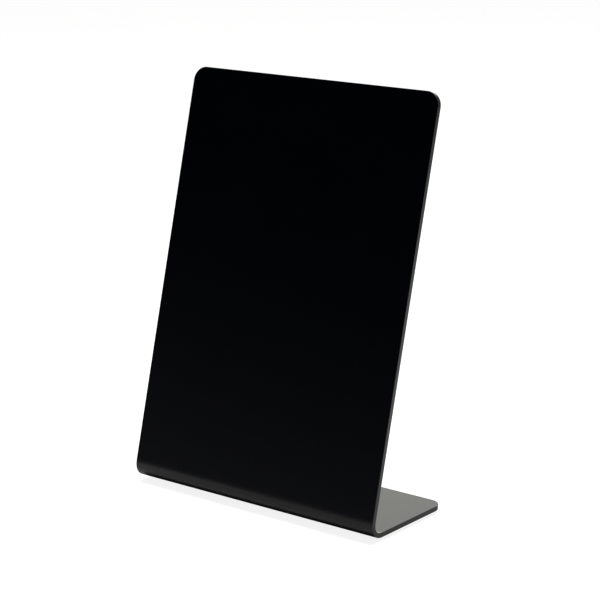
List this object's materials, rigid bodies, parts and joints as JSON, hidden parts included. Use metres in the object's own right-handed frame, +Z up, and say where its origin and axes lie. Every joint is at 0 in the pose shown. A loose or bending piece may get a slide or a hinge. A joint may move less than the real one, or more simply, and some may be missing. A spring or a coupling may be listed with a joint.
{
  "type": "sign stand",
  "caption": "Table-top sign stand: a rounded-corner plate bent into an L, with a portrait face leaning back over a flat base on low rubber feet.",
  "frame": {"origin": "on the table, under the middle of the stand's footprint box; the feet stand at z = 0", "axes": "+Z up; -Y the side that the sign face looks to, +Y the back, which the face leans towards; +X to the right of someone who faces +Y"},
  "size_m": [0.21, 0.0818, 0.2894],
  "materials": {
    "coated_steel": "satin black powder coat over deburred cut edges",
    "rubber": "matt black moulded rubber",
    "adhesive": "translucent grey acrylic adhesive film"
  },
  "bodies": {
    "root": {"bent_plate": "coated_steel", "rubber_foot_front_left": "rubber", "rubber_foot_front_right": "rubber", "rubber_foot_rear_left": "rubber", "rubber_foot_rear_right": "rubber", "adhesive_disc_front_left": "adhesive", "adhesive_disc_front_right": "adhesive", "adhesive_disc_rear_left": "adhesive", "adhesive_disc_rear_right": "adhesive"}
  },
  "joints": []
}
